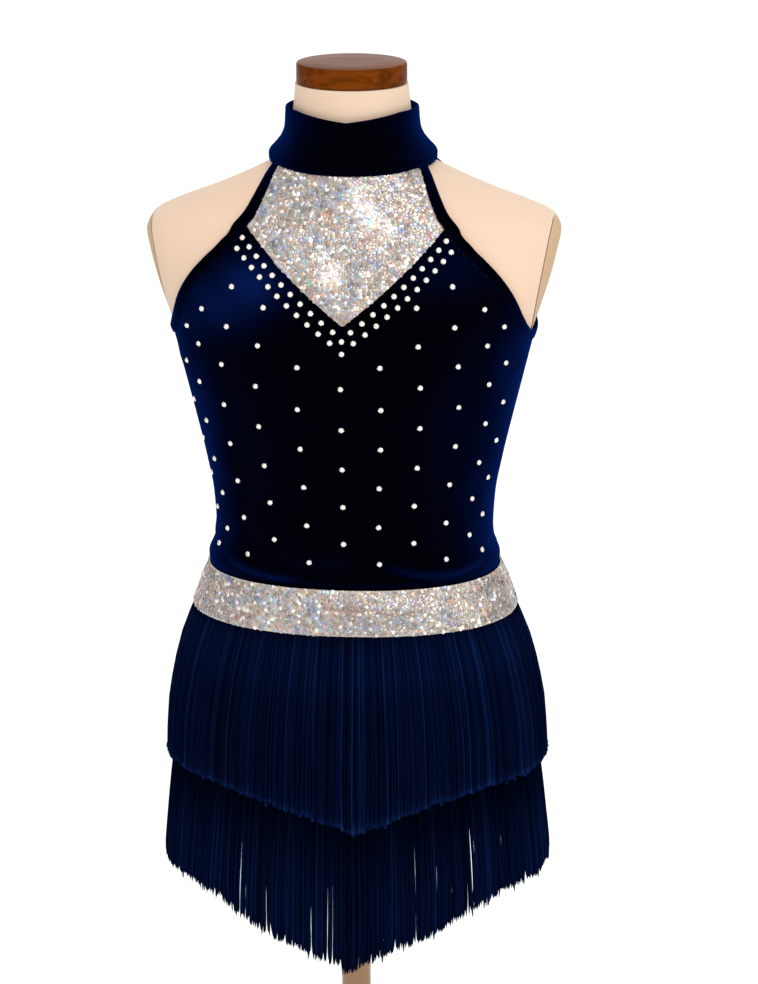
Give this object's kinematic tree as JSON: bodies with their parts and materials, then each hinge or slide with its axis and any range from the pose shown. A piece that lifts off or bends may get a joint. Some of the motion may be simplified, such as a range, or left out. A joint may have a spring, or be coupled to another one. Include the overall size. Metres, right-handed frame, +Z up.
{
  "type": "fringe dance costume on a limbless dress form",
  "caption": "Sleeveless halter dance dress in dark velvet, with a sequin neck inset and waistband and a skirt of tiered fringe, worn by a limbless dress form on a round stand.",
  "frame": {"origin": "centre of the base's underside, on the pole's axis, where the stand meets the floor", "axes": "+Z up the pole, -Y towards the dress's front, +X towards the wearer's left"},
  "size_m": [0.344, 0.344, 0.939],
  "materials": {
    "velvet": "dark navy stretch velvet with a soft sheen",
    "sequin_cloth": "closely sewn iridescent silver sequins",
    "fringe": "satiny navy chainette fringe",
    "form_cover": "matt cream linen jersey",
    "wood": "stained and varnished turned wood",
    "metal": "polished bronze-coloured steel"
  },
  "bodies": {
    "root": {"bodice_front": "velvet", "bodice_back_left": "velvet", "bodice_back_right": "velvet", "neck_inset": "sequin_cloth", "armhole_binding_left": "velvet", "armhole_binding_right": "velvet", "collar": "velvet", "belt": "sequin_cloth", "skirt_base": "velvet", "fringe_upper": "fringe", "fringe_lower": "fringe", "form_torso": "form_cover", "form_arm_plate_left": "form_cover", "form_arm_plate_right": "form_cover", "neck_cap": "wood", "pole": "metal", "pole_socket": "metal", "stand_base": "metal"}
  },
  "joints": []
}
